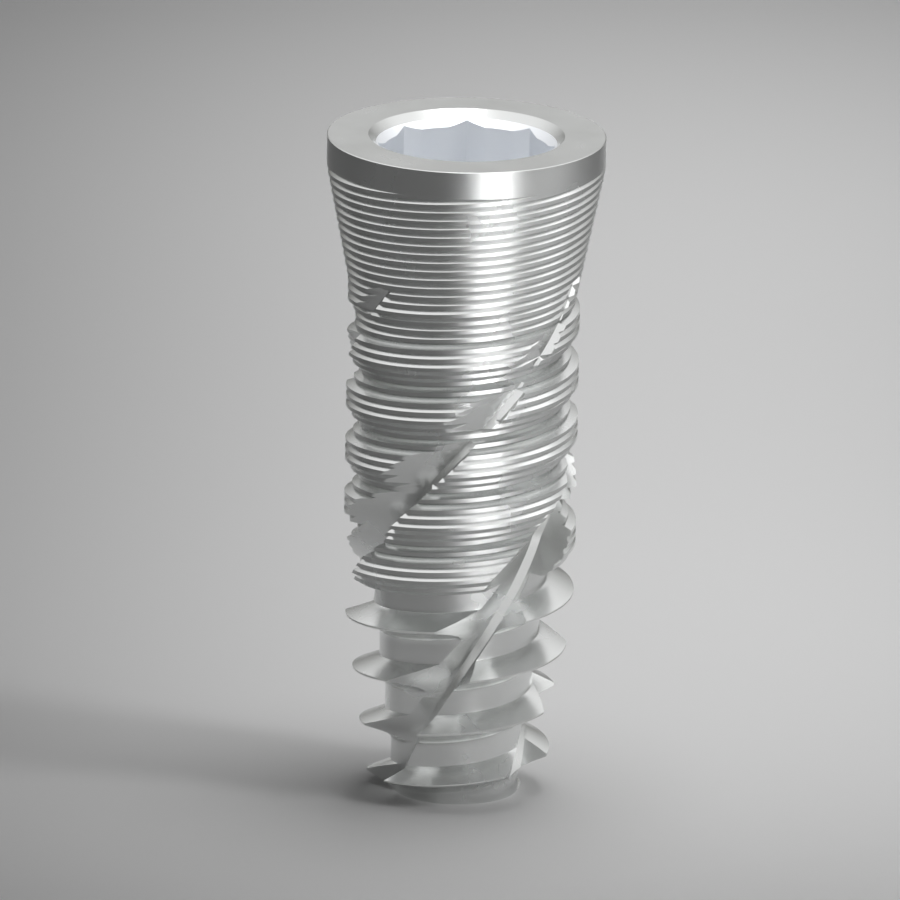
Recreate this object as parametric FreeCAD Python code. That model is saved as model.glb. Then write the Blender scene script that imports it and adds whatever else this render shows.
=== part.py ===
import FreeCAD, Part
import math
import os

Vec = FreeCAD.Vector

# Dental implant, turned and milled from one titanium bar. Millimetres, +Z up.
# The origin is the middle of the flat apex. "Depth" is measured down from the platform,
# and an angle of 0 faces -Y, growing towards +X.

# Overall sizes
length = 11.7
platform_d = 4.8
collar_height = 0.49
apex_d = 2.15

# Neck cone below the collar, over the tips of its fine thread
neck_full_depth = 0.59
neck_top_d = 4.78
neck_end_depth = 2.54
neck_end_d = 4.0

# Threaded body: one right-hand start, cut as a shallow wave
lead = 0.955
first_valley_depth = 2.986
body_crest_d = 3.96
body_core_d = 3.51
valley_half_width = 0.06
wave_upper_flank = 0.23
wave_crest_width = 0.38

# Fine thread of the neck: six starts on the same lead, as unequal V teeth
fine_starts = 6
fine_depth = 0.05
fine_root_share = 0.37
fine_end_depth = 2.46

# Apical thread: the same helix, cut deep between thin blades
apical_depth = 7.28
apical_core_d = 3.14
core_end_depth = 11.43
blade_taper_depth = 8.33
blade_end_d = 3.10
blade_tip_width = 0.04
blade_upper_flank = 0.20
blade_lower_flank = 0.315
blade_root_radius = 0.13
root_above_centre = 0.04
change_turns = 0.6

# Helical flutes, equally spaced, from the neck to the apex
flute_count = 3
flute_lead = 12.65
flute_angle = 13.8
flute_angle_depth = 4.80
flute_top_depth = 2.38
flute_floor = [(2.38, 1.93), (5.1, 1.75), (6.2, 1.59), (7.0, 1.37), (8.25, 1.256), (10.6, 1.068)]
flute_tilt_start = 5.1
flute_tilt_end = 8.25
flute_tilt = 0.125
flute_corner_r = 0.12
flute_width = 1.55

# Connection: bevelled mouth, octagon with rounded flats, and the screw bore below
mouth_d = 3.386
mouth_angle = 45.0
octagon_corner_d = 3.06
octagon_relief_d = 2.87
octagon_depth = 2.2
octagon_corners = 8
bore_d = 1.65
bore_lead_in_angle = 45.0
bore_end_depth = 6.6
drill_point_angle = 118.0

# How finely the helices are traced
arcs_per_turn = 2
points_per_arc = 7
flute_stations = 18
overlap = 0.6


def height(depth):
    """Height above the apex of a depth below the platform."""
    return length - depth


def mix(a, b, share):
    return a + (b - a) * share


def line_through(x, x0, y0, x1, y1):
    """Value at x of the straight line through two points."""
    return mix(y0, y1, (x - x0) / (x1 - x0))


def polar(radius, angle, z):
    """Point at a radius and an angle in degrees, where 0 faces -Y."""
    turn = math.radians(angle)
    return Vec(radius * math.sin(turn), -radius * math.cos(turn), z)


def revolve(outline):
    """Solid of revolution about Z of an outline of (radius, z) points."""
    points = [Vec(radius, 0, z) for radius, z in outline]
    face = Part.Face(Part.makePolygon(points + points[:1]))
    return face.revolve(Vec(0, 0, 0), Vec(0, 0, 1), 360)


def slab(top_depth, bottom_depth, radius):
    """Plain disc between two depths."""
    return Part.makeCylinder(radius, bottom_depth - top_depth, Vec(0, 0, height(bottom_depth)))


def neck_tip_r(depth):
    """Radius of the neck cone over the tips of its teeth."""
    return line_through(max(depth, neck_full_depth), neck_full_depth, neck_top_d / 2,
                        neck_end_depth, neck_end_d / 2)


def apical_core_r(depth):
    """Radius of the tapered core between the blades."""
    return line_through(min(depth, core_end_depth), apical_depth, apical_core_d / 2,
                        core_end_depth, apex_d / 2)


def apical_share(turn):
    """0 in the body, 1 in the apical thread, with a smooth change between."""
    middle = (apical_depth - first_valley_depth) / lead
    share = min(1.0, max(0.0, (turn - middle) / change_turns + 0.5))
    return share * share * (3 - 2 * share)


def blade_tip_r(depth):
    return line_through(max(depth, blade_taper_depth), blade_taper_depth, body_crest_d / 2,
                        core_end_depth, blade_end_d / 2)


def wave_section():
    """Rails of the shallow wave, from the valley's upper edge down, as (drop, radius)."""
    crest_start = valley_half_width + wave_upper_flank
    crest_end = crest_start + wave_crest_width
    flank_end = lead - valley_half_width
    core = body_core_d / 2
    crest = body_crest_d / 2
    return [(-valley_half_width, core),
            (valley_half_width, core),
            (crest_start, crest),
            (crest_end, crest),
            ((crest_end + flank_end) / 2, (crest + core) / 2)]


def blade_section(depth):
    """Rails of the deep thread, from the root's upper edge down, as (drop, radius)."""
    tip_end = lead - root_above_centre - blade_lower_flank
    tip_start = tip_end - blade_tip_width
    flank_start = tip_start - blade_upper_flank
    tip = blade_tip_r(depth + tip_end)
    core = apical_core_r(depth + (flank_start - root_above_centre) / 2)
    next_core = apical_core_r(depth + lead + (flank_start - root_above_centre) / 2)
    return [(-root_above_centre, core),
            (flank_start, core),
            (tip_start, tip),
            (tip_end, tip),
            (tip_end + blade_lower_flank / 2, next_core + blade_root_radius)]


body_rails = len(wave_section())
neck_rails = 2 * fine_starts


def body_rail(rail, turn):
    """Point of one rail of the body's thread after some turns of the helix."""
    if rail == body_rails:
        return body_rail(0, turn + 1)
    depth = first_valley_depth + lead * turn
    share = apical_share(turn)
    drop_a, radius_a = wave_section()[rail]
    drop_b, radius_b = blade_section(depth)[rail]
    depth += mix(drop_a, drop_b, share)
    radius = max(mix(radius_a, radius_b, share), neck_tip_r(depth) - fine_depth / 2)
    return polar(radius, -360 * turn, height(depth))


def neck_rail(rail, turn):
    """Point of one rail of the neck's fine thread: a tip, then a root, down one lead."""
    tooth, at_root = divmod(rail, 2)
    drop = (tooth + fine_root_share * at_root) * lead / fine_starts
    depth = first_valley_depth + lead * turn + drop
    return polar(neck_tip_r(depth) - fine_depth * at_root, -360 * turn, height(depth))


def rail_arc(rail_point, rail, turn):
    """One arc of a rail as a smooth edge."""
    steps = range(points_per_arc)
    share = 1.0 / arcs_per_turn / (points_per_arc - 1)
    curve = Part.BSplineCurve()
    curve.interpolate([rail_point(rail, turn + step * share) for step in steps])
    return curve.toShape()


def axis_point(rail_point, turn):
    """Point of the axis at the height of the first rail."""
    return Vec(0, 0, rail_point(0, turn).z)


def axis_arc(rail_point, turn):
    return Part.makeLine(axis_point(rail_point, turn),
                         axis_point(rail_point, turn + 1.0 / arcs_per_turn))


def end_face(rail_point, rails, turn):
    """Flat end of the helical ribbon in the half plane through the axis."""
    profile = [rail_point(rail, turn) for rail in range(rails + 1)]
    axis = [axis_point(rail_point, turn + arc / arcs_per_turn)
            for arc in range(arcs_per_turn, -1, -1)]
    return Part.Face(Part.makePolygon(profile + axis + profile[:1]))


def threaded_rod(rail_point, rails, top_depth, bottom_depth):
    """Solid rod with a thread on it, whole between two depths, from the rails of one lead."""
    first = math.floor((top_depth - first_valley_depth) / lead) - 1.5
    last = math.ceil((bottom_depth - first_valley_depth) / lead) + 0.5
    arcs = int(round((last - first) * arcs_per_turn))
    turns = [first + arc / arcs_per_turn for arc in range(arcs)]
    faces = [Part.makeRuledSurface(rail_arc(rail_point, rail, turn),
                                   rail_arc(rail_point, rail + 1, turn))
             for turn in turns for rail in range(rails)]
    for turn in turns[:arcs_per_turn]:
        faces.append(Part.makeRuledSurface(axis_arc(rail_point, turn),
                                           rail_arc(rail_point, 0, turn)))
    for turn in turns[-arcs_per_turn:]:
        faces.append(Part.makeRuledSurface(axis_arc(rail_point, turn + 1),
                                           rail_arc(rail_point, rails, turn)))
    faces += [end_face(rail_point, rails, first), end_face(rail_point, rails, last)]
    shell = Part.makeCompound(faces)
    shell.sewShape()
    rod = Part.Solid(shell.Shells[0])
    if rod.Volume < 0:
        rod.reverse()
    return rod


def flute_floor_r(depth):
    """Distance from the axis of a flute's floor at its wall, between the sizes in the list."""
    for (upper, upper_r), (lower, lower_r) in zip(flute_floor, flute_floor[1:]):
        if depth <= lower:
            return line_through(depth, upper, upper_r, lower, lower_r)
    return flute_floor[-1][1]


def flute_floor_slope(depth):
    """How much the flat floor rises for each millimetre away from the wall."""
    share = line_through(depth, flute_tilt_start, 0, flute_tilt_end, 1)
    return flute_tilt * min(1.0, max(0.0, share))


def flute_section(depth, start_angle):
    """Level section of the flute cutter: flat floor, eased corner and a radial wall."""
    angle = start_angle - 360 * (depth - flute_angle_depth) / flute_lead
    out = polar(1, angle, 0)
    along = polar(1, angle + 90, 0)
    base = Vec(0, 0, height(depth))
    floor_r = flute_floor_r(depth)
    clear_r = platform_d / 2 + overlap

    def place(sideways, outwards):
        return base + along * sideways + out * outwards

    corner = flute_corner_r
    bend = corner * (1 - math.sqrt(0.5))
    far_floor_r = floor_r + flute_floor_slope(depth) * flute_width
    points = [place(-flute_width, far_floor_r), place(-corner, floor_r),
              place(-bend, floor_r + bend), place(0, floor_r + corner),
              place(0, clear_r), place(-flute_width, clear_r)]
    return Part.makePolygon(points + points[:1])


def flute_cutter(number):
    """Solid that mills one helical flute."""
    start_angle = flute_angle + 360.0 * number / flute_count
    last_depth = length + overlap
    step = (last_depth - flute_top_depth) / flute_stations
    depths = [flute_top_depth + step * station for station in range(flute_stations + 1)]
    return Part.makeLoft([flute_section(depth, start_angle) for depth in depths], True)


def connection_cutter():
    """Bevelled mouth, octagon, its round relief, and the screw bore with its drilled end."""
    relief_r = octagon_relief_d / 2
    bore_r = bore_d / 2
    mouth_end = (mouth_d / 2 - relief_r) / math.tan(math.radians(mouth_angle))
    lead_in = (relief_r - bore_r) / math.tan(math.radians(bore_lead_in_angle))
    point = bore_r / math.tan(math.radians(drill_point_angle / 2))
    above = overlap
    mouth_above_r = mouth_d / 2 + above * math.tan(math.radians(mouth_angle))
    turned = revolve([(0, height(-above)), (mouth_above_r, height(-above)),
                      (relief_r, height(mouth_end)),
                      (relief_r, height(octagon_depth)),
                      (bore_r, height(octagon_depth + lead_in)),
                      (bore_r, height(bore_end_depth)),
                      (0, height(bore_end_depth + point))])
    step = 360.0 / octagon_corners
    corners = [polar(octagon_corner_d / 2, step * n, height(octagon_depth))
               for n in range(octagon_corners + 1)]
    octagon = Part.Face(Part.makePolygon(corners)).extrude(Vec(0, 0, octagon_depth + above))
    return turned.fuse(octagon)


def implant_body():
    """The whole implant as one solid."""
    clear_r = platform_d / 2 + overlap
    neck = threaded_rod(neck_rail, neck_rails, collar_height, fine_end_depth)
    body = threaded_rod(body_rail, body_rails, fine_end_depth, length)
    neck = neck.common(slab(collar_height, fine_end_depth, clear_r))
    body = body.common(slab(fine_end_depth, length, clear_r))
    blank = slab(0, collar_height, platform_d / 2).fuse(neck).fuse(body)
    for number in range(flute_count):
        blank = blank.cut(flute_cutter(number))
    return blank.cut(connection_cutter())


os.makedirs("parts", exist_ok=True)
implant_body().exportStep("parts/implant_body.step")
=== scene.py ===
import bpy
import bmesh
from math import cos, pi, radians, sin, tan
from mathutils import Matrix, Quaternion, Vector


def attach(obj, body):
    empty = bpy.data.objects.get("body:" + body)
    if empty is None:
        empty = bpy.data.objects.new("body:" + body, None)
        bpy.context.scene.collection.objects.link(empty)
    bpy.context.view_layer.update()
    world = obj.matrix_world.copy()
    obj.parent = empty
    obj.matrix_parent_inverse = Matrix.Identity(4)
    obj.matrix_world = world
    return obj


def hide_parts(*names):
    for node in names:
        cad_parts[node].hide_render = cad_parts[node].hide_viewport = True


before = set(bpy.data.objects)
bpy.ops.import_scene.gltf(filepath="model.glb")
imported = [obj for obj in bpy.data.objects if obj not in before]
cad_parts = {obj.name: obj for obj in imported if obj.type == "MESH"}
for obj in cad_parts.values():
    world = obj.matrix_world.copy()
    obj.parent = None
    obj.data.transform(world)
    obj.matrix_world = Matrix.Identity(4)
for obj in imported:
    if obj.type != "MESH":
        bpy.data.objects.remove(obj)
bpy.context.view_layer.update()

# Sizes in millimetres, the same as the solid's. "Depth" is measured down from the platform.
# An angle of 0 faces the camera (-Y) and grows towards +X.
length = 11.7
platform_r = 2.4
collar_height = 0.49
edge_break = 0.012

# The macro thread: one right-hand start
lead = 0.955
first_valley_depth = 2.986
steps_per_turn = 120
first_turn = -4
turns_swept = 14

# The micro thread: six starts on the same lead, so six teeth in each lead, the first in the valley
teeth = 6
pitch = lead / teeth
tooth_tip_r = [1.765, 1.87, 2.0, 2.0, 2.0, 1.90]
groove_depth = 0.055
# Each row of a tooth: how far down in pitches, and the share of the way in from the next tip to the
# root. The first two rows are the tooth's own land.
tooth_rows = [(-0.20, 0), (0.20, 0), (0.32, 1), (0.36, 1), (0.58, 0.5), (0.76, 0.09)]
land_rows = 2
rows_per_lead = teeth * len(tooth_rows)
teeth_end_turn = 4.30
teeth_fade_turns = 0.12

# The neck cone, on the tips of the micro thread
neck_tip_r = 2.397
neck_full_depth = 0.54
neck_slope = 0.2

# The deep thread between thin blades
apical_depth = 7.28
apical_core_r = 1.57
core_end_depth = 11.43
apex_r = 1.075
blade_taper_depth = 8.33
blade_full_r = 1.985
blade_end_r = 1.55
change_turns = 0.5
root_start = -0.04
root_end = 0.33
flank_start = 0.385
tip_start = 0.56
tip_end = 0.60
flank_end = 0.915
hollow_depth = 0.05
hollow_share = 0.35
flank_lead_in = 0.03
tip_rounding = 0.012
underside_curve = 1.85
# Rows of one lead: the root land ends at the first, the flank at the second and the tip at the third
root_last_row = 8
flank_last_row = 20
tip_last_row = 24

# The helical flutes
flute_count = 3
flute_lead = 12.65
flute_angle = 13.8
flute_angle_depth = 4.80
flute_top_depth = 2.38
flute_floor = [(2.38, 1.93), (5.1, 1.75), (6.2, 1.59), (7.0, 1.37), (8.25, 1.256), (10.6, 1.068)]
flute_tilt_start = 5.1
flute_tilt_end = 8.25
flute_tilt = 0.125
flute_bevel = 0.12
flute_width = 1.55
flute_steps = 150

# The connection
mouth_r = 1.693
octagon_corner_r = 1.53
octagon_relief_r = 1.435
octagon_depth = 2.2
bore_r = 0.825
bore_end_depth = 6.6
drill_point_angle = 118.0
overlap = 0.6
weld_distance = 0.00001
sharp_angle = 32

# The metal, as linear colours and in metres
metal_dark = (0.70, 0.71, 0.70)
metal_bright = (0.85, 0.86, 0.86)
metal_roughness = 0.20
roughness_change = 0.12
cloud_scale = 900
cloud_detail = 3
# The socket's bluish white is painted light: a painted reflection that makes the inside walls brighter
# than the metal
socket_painted_reflection_colour = (0.94, 0.96, 0.99)
socket_roughness = 0.5
socket_r = 0.00156
socket_bottom = 0.0092
tool_line_scale = 60000
tool_line_detail = 2
tool_line_height = 0.00000004

# The floor and the sky, as linear greys
floor_colour = (0.8, 0.8, 0.8)
floor_roughness = 0.9
floor_half_side = 0.5
sky_low = (0.22, 0.22, 0.21)
sky_low_up_to = 0.05
sky_high = (1.0, 1.0, 1.0)
sky_high_from = 0.60
sky_on_floor = (0.07, 0.07, 0.07)


def height(depth):
    return length - depth


def mix(a, b, share):
    return a + (b - a) * share


def line_through(x, x0, y0, x1, y1):
    return mix(y0, y1, (x - x0) / (x1 - x0))


def eased(share):
    """0 below 0 and 1 above 1, with a smooth change between."""
    share = min(1.0, max(0.0, share))
    return share * share * (3 - 2 * share)


def polar(radius, angle, z):
    return Vector((radius * sin(radians(angle)), -radius * cos(radians(angle)), z))


def neck_r(depth):
    """Radius of the neck cone over the tips of its teeth."""
    return min(neck_tip_r, platform_r - neck_slope * (depth - neck_full_depth))


def core_r(turn):
    """Radius of the root land between the blades, which is level along each turn."""
    depth = first_valley_depth + lead * turn + (root_start + flank_start) / 2
    return line_through(min(depth, core_end_depth), apical_depth, apical_core_r,
                        core_end_depth, apex_r)


def blade_r(depth):
    return line_through(max(depth, blade_taper_depth), blade_taper_depth, blade_full_r,
                        core_end_depth, blade_end_r)


def tip_r(turn, tooth):
    """Radius of a tooth of the micro thread, on the wave or on the neck cone."""
    depth = first_valley_depth + lead * turn + tooth * pitch
    return max(tooth_tip_r[tooth % teeth], neck_r(depth))


def tooth_row(turn, row):
    """One row of the micro-threaded wave, as (drop below the valley's middle, radius).

    A tooth is a level land, a short underside, and a long slope out to the next tooth's land.
    """
    tooth, part = divmod(row, len(tooth_rows))
    share, sunk = tooth_rows[part]
    tip = tip_r(turn, tooth)
    present = 1 - eased((turn - teeth_end_turn) / teeth_fade_turns)
    next_tip = tip_r(turn, tooth + 1)
    root = min(tip, next_tip) - groove_depth * present
    radius = tip if part < land_rows else mix(next_tip, root, sunk)
    return (tooth + share) * pitch, radius


def blade_row(turn, row):
    """One row of the deep thread: root land, hollow, flank, rounded tip and hollow underside."""
    core = core_r(turn)
    tip = blade_r(first_valley_depth + lead * turn + tip_end)
    if row <= root_last_row:
        return mix(root_start, root_end, row / root_last_row), core
    if row <= flank_last_row:
        share = line_through(row, root_last_row, 0, flank_last_row, 1)
        drop = mix(root_end, tip_start, share)
        hollow = hollow_depth * (1 - min(1.0, share / hollow_share)) ** 2
        rise = max(0.0, line_through(drop, flank_start - flank_lead_in, 0.0, tip_start, tip - core))
        return drop, core + max(rise, hollow_depth * share - hollow * share)
    if row <= tip_last_row:
        share = line_through(row, flank_last_row, 0, tip_last_row, 1)
        return mix(tip_start, tip_end, share), tip - tip_rounding * (2 * share - 1) ** 2
    share = line_through(row, tip_last_row, 0, rows_per_lead, 1)
    below = core_r(turn + 1)
    reach = tip - tip_rounding - below
    return mix(tip_end, flank_end, share), below + reach * (1 - share) ** underside_curve


def thread_point(turn, row):
    if row >= rows_per_lead:
        return thread_point(turn + 1, row - rows_per_lead)
    middle = (apical_depth - first_valley_depth) / lead
    share = eased((turn - middle) / change_turns + 0.5)
    drop_a, radius_a = tooth_row(turn, row)
    drop_b, radius_b = blade_row(turn, row)
    depth = first_valley_depth + lead * turn + mix(drop_a, drop_b, share)
    return polar(mix(radius_a, radius_b, share), -360 * turn, height(depth))


def new_object(name, bm):
    """Makes an object of a mesh, with the faces of a closed one turned outwards."""
    bmesh.ops.recalc_face_normals(bm, faces=bm.faces)
    if bm.calc_volume(signed=True) < 0:
        bmesh.ops.reverse_faces(bm, faces=bm.faces)
    mesh = bpy.data.meshes.new(name)
    bm.to_mesh(mesh)
    bm.free()
    piece = bpy.data.objects.new(name, mesh)
    bpy.context.collection.objects.link(piece)
    return piece


def close_holes(bm):
    rim = [edge for edge in bm.edges if edge.is_boundary]
    if rim:
        bmesh.ops.holes_fill(bm, edges=rim, sides=0)


def threaded_rod():
    """A profile of one lead, swept down the helix, then set to the radius of each turn."""
    bm = bmesh.new()
    row_of = bm.verts.layers.int.new("row")
    profile = []
    for row in range(rows_per_lead + 1):
        vert = bm.verts.new(polar(1, 0, -row * pitch / len(tooth_rows)))
        vert[row_of] = row
        profile.append(vert)
    line = [bm.edges.new(pair) for pair in zip(profile, profile[1:])]
    drop = lead / steps_per_turn
    bmesh.ops.spin(bm, geom=profile + line, axis=(0, 0, 1), cent=(0, 0, 0), dvec=(0, 0, -drop),
                   angle=-2 * pi, steps=steps_per_turn, use_merge=False)
    bmesh.ops.spin(bm, geom=bm.verts[:] + bm.edges[:] + bm.faces[:], axis=(0, 0, 1),
                   cent=(0, 0, 0), dvec=(0, 0, -lead), angle=0, steps=turns_swept - 1,
                   use_duplicate=True)
    for vert in bm.verts:
        row = vert[row_of]
        step = round((-row * pitch / len(tooth_rows) - vert.co.z) / drop)
        vert.co = thread_point(first_turn + step / steps_per_turn, row)
    bmesh.ops.remove_doubles(bm, verts=bm.verts, dist=weld_distance)
    for level, side in ((0, -1), (height(collar_height / 2), 1)):
        bmesh.ops.bisect_plane(bm, geom=bm.verts[:] + bm.edges[:] + bm.faces[:], dist=1e-6,
                               plane_co=(0, 0, level), plane_no=(0, 0, side), clear_outer=True)
    close_holes(bm)
    return new_object("implant", bm)


def turned(name, outline, segments=120):
    """A closed solid of revolution of an outline that starts and ends on the axis."""
    bm = bmesh.new()
    points = [bm.verts.new((radius, 0, z)) for radius, z in outline]
    line = [bm.edges.new(pair) for pair in zip(points, points[1:])]
    bmesh.ops.spin(bm, geom=points + line, axis=(0, 0, 1), cent=(0, 0, 0), angle=2 * pi,
                   steps=segments, use_merge=True)
    bmesh.ops.remove_doubles(bm, verts=bm.verts, dist=weld_distance)
    return new_object(name, bm)


def collar():
    low = height(collar_height)
    return turned("collar", [(0, low), (platform_r - edge_break, low),
                             (platform_r, low + edge_break), (platform_r, length - edge_break),
                             (platform_r - edge_break, length), (0, length)])


def flute_floor_r(depth):
    for (upper, upper_r), (lower, lower_r) in zip(flute_floor, flute_floor[1:]):
        if depth <= lower:
            return line_through(depth, upper, upper_r, lower, lower_r)
    return flute_floor[-1][1]


def flute_outline(depth):
    """Level section of a flute as (sideways from the wall, outwards) points."""
    floor_r = flute_floor_r(depth)
    share = line_through(depth, flute_tilt_start, 0, flute_tilt_end, 1)
    slope = flute_tilt * min(1.0, max(0.0, share))
    clear_r = platform_r + overlap
    return [(-flute_width, floor_r + slope * flute_width), (-flute_bevel, floor_r),
            (0, floor_r + flute_bevel), (0, clear_r), (-flute_width, clear_r)]


def flute_cutter(number):
    """The section of a flute, swept down its helix."""
    bm = bmesh.new()
    corner_of = bm.verts.layers.int.new("corner")
    outline = []
    for corner, (sideways, outwards) in enumerate(flute_outline(flute_top_depth)):
        vert = bm.verts.new((sideways, outwards, 0))
        vert[corner_of] = corner
        outline.append(vert)
    face = bm.faces.new(outline)
    drop = (length + overlap - flute_top_depth) / flute_steps
    bmesh.ops.spin(bm, geom=outline + face.edges[:] + [face], axis=(0, 0, 1), cent=(0, 0, 0),
                   dvec=(0, 0, -drop), angle=-2 * pi * drop * flute_steps / flute_lead,
                   steps=flute_steps, use_merge=False)
    for vert in bm.verts:
        depth = flute_top_depth - vert.co.z
        angle = flute_angle + 360 * number / flute_count
        angle -= 360 * (depth - flute_angle_depth) / flute_lead
        sideways, outwards = flute_outline(depth)[vert[corner_of]]
        vert.co = polar(outwards, angle, height(depth)) + polar(sideways, angle + 90, 0)
    close_holes(bm)
    return new_object("flute", bm)


def connection_cutter():
    """Bevelled mouth, the octagon's round relief, and the screw bore with its drilled end."""
    lead_in = octagon_relief_r - bore_r
    point = bore_r / tan(radians(drill_point_angle / 2))
    mouth_end = mouth_r - octagon_relief_r
    return turned("connection", [
        (0, height(-overlap)), (mouth_r + overlap, height(-overlap)),
        (octagon_relief_r, height(mouth_end)), (octagon_relief_r, height(octagon_depth)),
        (bore_r, height(octagon_depth + lead_in)), (bore_r, height(bore_end_depth)),
        (0, height(bore_end_depth + point))])


def octagon_cutter():
    bm = bmesh.new()
    bmesh.ops.create_circle(bm, cap_ends=True, segments=8, radius=octagon_corner_r,
                            matrix=Matrix.Translation((0, 0, height(octagon_depth))))
    raised = bmesh.ops.extrude_face_region(bm, geom=bm.faces[:])
    bmesh.ops.translate(bm, vec=(0, 0, octagon_depth + overlap),
                        verts=[item for item in raised["geom"] if isinstance(item, bmesh.types.BMVert)])
    return new_object("octagon", bm)


def combine(piece, tool, operation):
    """Joins a tool's solid to a piece, or cuts it away, and leaves plain mesh."""
    change = piece.modifiers.new("shape", "BOOLEAN")
    change.operation = operation
    change.solver = "MANIFOLD"
    change.object = tool
    seen = piece.evaluated_get(bpy.context.evaluated_depsgraph_get())
    shaped = bpy.data.meshes.new_from_object(seen)
    piece.modifiers.clear()
    piece.data = shaped
    bpy.data.objects.remove(tool)


def implant():
    piece = threaded_rod()
    combine(piece, collar(), "UNION")
    for number in range(flute_count):
        combine(piece, flute_cutter(number), "DIFFERENCE")
    combine(piece, connection_cutter(), "DIFFERENCE")
    combine(piece, octagon_cutter(), "DIFFERENCE")
    mesh = piece.data
    mesh.materials.clear()
    mesh.transform(Matrix.Scale(0.001, 4))
    mesh.polygons.foreach_set("material_index", [0] * len(mesh.polygons))
    mesh.polygons.foreach_set("use_smooth", [True] * len(mesh.polygons))
    mesh.set_sharp_from_angle(angle=radians(sharp_angle))
    return piece


def new_node(tree, kind, **settings):
    node = tree.nodes.new(kind)
    for name, value in settings.items():
        setattr(node, name, value)
    return node


def feed(tree, socket, value):
    """Links a socket to another node's output, or sets it to a number or a colour."""
    if isinstance(value, tuple):
        socket.default_value = (*value, 1)
    elif isinstance(value, (int, float)):
        socket.default_value = value
    else:
        tree.links.new(value, socket)


def math(tree, operation, *values):
    node = new_node(tree, "ShaderNodeMath", operation=operation)
    for socket, value in zip(node.inputs, values):
        feed(tree, socket, value)
    return node.outputs["Value"]


def noise(tree, vector, scale, detail):
    node = new_node(tree, "ShaderNodeTexNoise")
    feed(tree, node.inputs["Scale"], scale)
    feed(tree, node.inputs["Detail"], detail)
    feed(tree, node.inputs["Vector"], vector)
    return node.outputs["Fac"]


def mixed_colour(tree, factor, first, second):
    node = new_node(tree, "ShaderNodeMix", data_type="RGBA")
    feed(tree, node.inputs["Factor"], factor)
    feed(tree, node.inputs["A"], first)
    feed(tree, node.inputs["B"], second)
    return node.outputs["Result"]


def tool_lines(tree, radius, z):
    """Faint rings round the axis, left by turning."""
    rings = new_node(tree, "ShaderNodeCombineXYZ")
    feed(tree, rings.inputs["X"], radius)
    feed(tree, rings.inputs["Y"], z)
    bump = new_node(tree, "ShaderNodeBump")
    feed(tree, bump.inputs["Distance"], tool_line_height)
    feed(tree, bump.inputs["Strength"], 1)
    lines = noise(tree, rings.outputs["Vector"], tool_line_scale, tool_line_detail)
    feed(tree, bump.inputs["Height"], lines)
    return bump.outputs["Normal"]


def titanium():
    """Turned titanium: faint tool lines, soft unevenness in its gloss, and a matter socket whose
    brighter, bluish-white colour is painted light, a painted reflection in place of the bright light
    inside it.
    """
    material = bpy.data.materials.new("machined_titanium")
    material.use_nodes = True
    tree = material.node_tree
    shader = tree.nodes["Principled BSDF"]
    shader.inputs["Metallic"].default_value = 1
    place = new_node(tree, "ShaderNodeTexCoord").outputs["Object"]
    parts = new_node(tree, "ShaderNodeSeparateXYZ")
    feed(tree, parts.inputs["Vector"], place)
    x, y, z = parts.outputs
    squares = math(tree, "ADD", math(tree, "MULTIPLY", x, x), math(tree, "MULTIPLY", y, y))
    radius = math(tree, "SQRT", squares)
    # Inside the socket the colour is painted light, a brighter bluish white standing for a painted
    # reflection, and the gloss is matter
    socket_painted_reflection_mask = math(tree, "MULTIPLY", math(tree, "LESS_THAN", radius, socket_r),
                  math(tree, "GREATER_THAN", z, socket_bottom))
    clouds = noise(tree, place, cloud_scale, cloud_detail)
    metal = mixed_colour(tree, clouds, metal_dark, metal_bright)
    feed(tree, shader.inputs["Base Color"], mixed_colour(tree, socket_painted_reflection_mask, metal, socket_painted_reflection_colour))
    satin = math(tree, "MULTIPLY_ADD", clouds, roughness_change, metal_roughness)
    matt = math(tree, "MULTIPLY", socket_painted_reflection_mask, socket_roughness)
    feed(tree, shader.inputs["Roughness"], math(tree, "MAXIMUM", satin, matt))
    feed(tree, shader.inputs["Normal"], tool_lines(tree, radius, z))
    return material


def floor():
    bm = bmesh.new()
    bmesh.ops.create_grid(bm, x_segments=1, y_segments=1, size=floor_half_side)
    plane = new_object("floor", bm)
    paper = bpy.data.materials.new("pale_paper")
    paper.use_nodes = True
    shader = paper.node_tree.nodes["Principled BSDF"]
    shader.inputs["Base Color"].default_value = (*floor_colour, 1)
    shader.inputs["Roughness"].default_value = floor_roughness
    plane.data.materials.append(paper)


def lamp(name, place, target, size, power, spread=180, turn=0):
    light = bpy.data.lights.new(name, "AREA")
    light.shape = "RECTANGLE"
    light.size, light.size_y = size
    light.energy = power
    light.spread = radians(spread)
    holder = bpy.data.objects.new(name, light)
    holder.location = place
    aim = (Vector(target) - Vector(place)).to_track_quat("-Z", "Y")
    holder.rotation_euler = (aim @ Quaternion((0, 0, 1), radians(turn))).to_euler()
    bpy.context.collection.objects.link(holder)
    return holder


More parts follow.
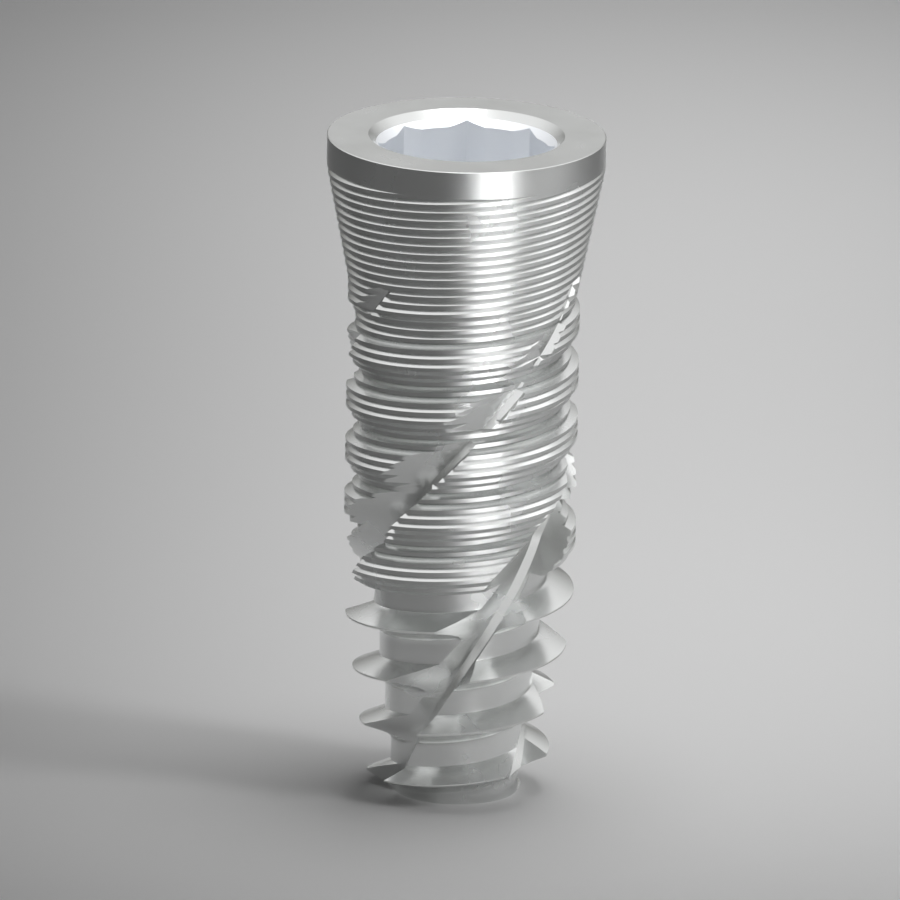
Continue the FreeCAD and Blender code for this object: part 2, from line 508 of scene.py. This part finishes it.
def studio_world():
    """White overhead and darker to the sides in the metal, and dimmer as the light on the floor."""
    world = bpy.data.worlds.new("studio")
    bpy.context.scene.world = world
    world.use_nodes = True
    tree = world.node_tree
    background = tree.nodes["Background"]
    place = new_node(tree, "ShaderNodeTexCoord")
    split = new_node(tree, "ShaderNodeSeparateXYZ")
    feed(tree, split.inputs["Vector"], place.outputs["Generated"])
    sky = new_node(tree, "ShaderNodeValToRGB")
    low, high = sky.color_ramp.elements
    low.position = sky_low_up_to
    low.color = (*sky_low, 1)
    high.position = sky_high_from
    high.color = (*sky_high, 1)
    feed(tree, sky.inputs["Fac"], split.outputs["Z"])
    path = new_node(tree, "ShaderNodeLightPath")
    mirrored = math(tree, "MAXIMUM", path.outputs["Is Glossy Ray"], path.outputs["Is Transmission Ray"])
    seen = math(tree, "MAXIMUM", path.outputs["Is Camera Ray"], mirrored)
    shown = mixed_colour(tree, seen, sky_on_floor, sky.outputs["Color"])
    feed(tree, background.inputs["Color"], shown)
    background.inputs["Strength"].default_value = 1


def lights():
    """Soft lamps. The key only gives the floor its light and shadow, so it is hidden from the metal."""
    lamp("front_light", (0.016, -0.036, 0.025), (0.016, -0.036, 0), (0.014, 0.034), 0.0085, 58, 24)
    lamp("right_light", (0.055, -0.012, 0.04), (0, 0, 0.005), (0.05, 0.04), 0.0035)
    lamp("back_light", (0.004, 0.024, 0.04), (0.004, 0.024, 0), (0.016, 0.060), 0.0026, 60)
    key = lamp("floor_key_light", (0.055, -0.020, 0.028), (0, 0, 0.003), (0.012, 0.012), 0.010)
    key.visible_glossy = False
    studio_world()


def camera():
    """A long lens, as near as parallel, looking down at the photograph's angle."""
    elevation = radians(16.257)
    roll = radians(1.018)
    distance = 0.6
    aim_depth = 5.75
    shift_left = 0.00019
    shift_up = 0.000103
    pixels_per_mm = 58.019
    frame_pixels = 900
    sensor_width = 36
    middle = Vector((0, 0, (length - aim_depth) / 1000))
    back = Vector((0, -cos(elevation), sin(elevation)))
    right = Vector((1, 0, 0))
    up = back.cross(right)
    tilted_right = right * cos(roll) + up * sin(roll)
    tilted_up = up * cos(roll) - right * sin(roll)
    data = bpy.data.cameras.new("camera")
    data.sensor_width = sensor_width
    data.lens = sensor_width * pixels_per_mm * distance * 1000 / frame_pixels
    data.clip_start = 0.01
    data.clip_end = 10
    holder = bpy.data.objects.new("camera", data)
    place = middle + back * distance - tilted_right * shift_left + tilted_up * shift_up
    turn = Matrix((tilted_right, tilted_up, back)).transposed()
    holder.matrix_world = Matrix.Translation(place) @ turn.to_4x4()
    bpy.context.collection.objects.link(holder)
    bpy.context.scene.camera = holder


body = implant()
body.data.materials.append(titanium())
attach(body, "root")
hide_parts("implant_body")
floor()
lights()
camera()
bpy.context.scene.view_settings.view_transform = "Standard"
